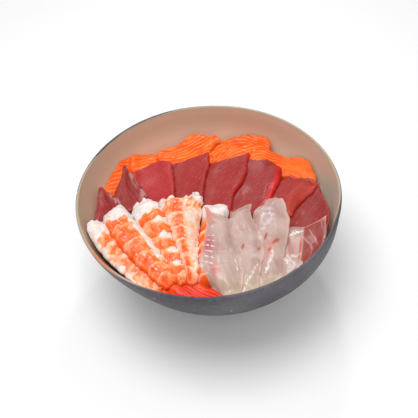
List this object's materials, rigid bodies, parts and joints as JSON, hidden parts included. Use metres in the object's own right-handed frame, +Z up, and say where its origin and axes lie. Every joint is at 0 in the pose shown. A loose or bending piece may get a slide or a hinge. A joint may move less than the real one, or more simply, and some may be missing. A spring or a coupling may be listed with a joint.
{
  "type": "chirashi bowl",
  "caption": "Deep round stoneware bowl of rice topped with fanned slices of salmon, tuna and white fish and with cooked prawns.",
  "frame": {"origin": "under the centre of the rim, on the plane that the foot ring stands on", "axes": "+Z up; +Y towards the far side, where the salmon lies; +X to the viewer's right; -Y towards the viewer, where the prawn tails meet"},
  "size_m": [0.1797, 0.1798, 0.078],
  "materials": {
    "glaze": "matt slate-grey glaze outside, satin tan glaze inside",
    "rice": "moist cooked rice",
    "salmon_flesh": "wet, with pale fat lines",
    "tuna_flesh": "wet, deep red with fine pale grain",
    "white_flesh": "wet and half clear",
    "prawn_flesh": "wet, white flesh under orange-red bands"
  },
  "bodies": {
    "root": {"bowl": "glaze", "rice_bed": "rice", "salmon_1": "salmon_flesh", "salmon_2": "salmon_flesh", "salmon_3": "salmon_flesh", "salmon_4": "salmon_flesh", "salmon_5": "salmon_flesh", "tuna_1": "tuna_flesh", "tuna_2": "tuna_flesh", "tuna_3": "tuna_flesh", "tuna_4": "tuna_flesh", "tuna_5": "tuna_flesh", "tuna_6": "tuna_flesh", "tuna_7": "tuna_flesh", "tuna_8": "tuna_flesh", "tuna_9": "tuna_flesh", "white_1": "white_flesh", "white_2": "white_flesh", "white_3": "white_flesh", "white_4": "white_flesh", "white_5": "white_flesh", "prawn_1": "prawn_flesh", "prawn_2": "prawn_flesh", "prawn_3": "prawn_flesh", "prawn_4": "prawn_flesh", "prawn_5": "prawn_flesh"}
  },
  "joints": []
}
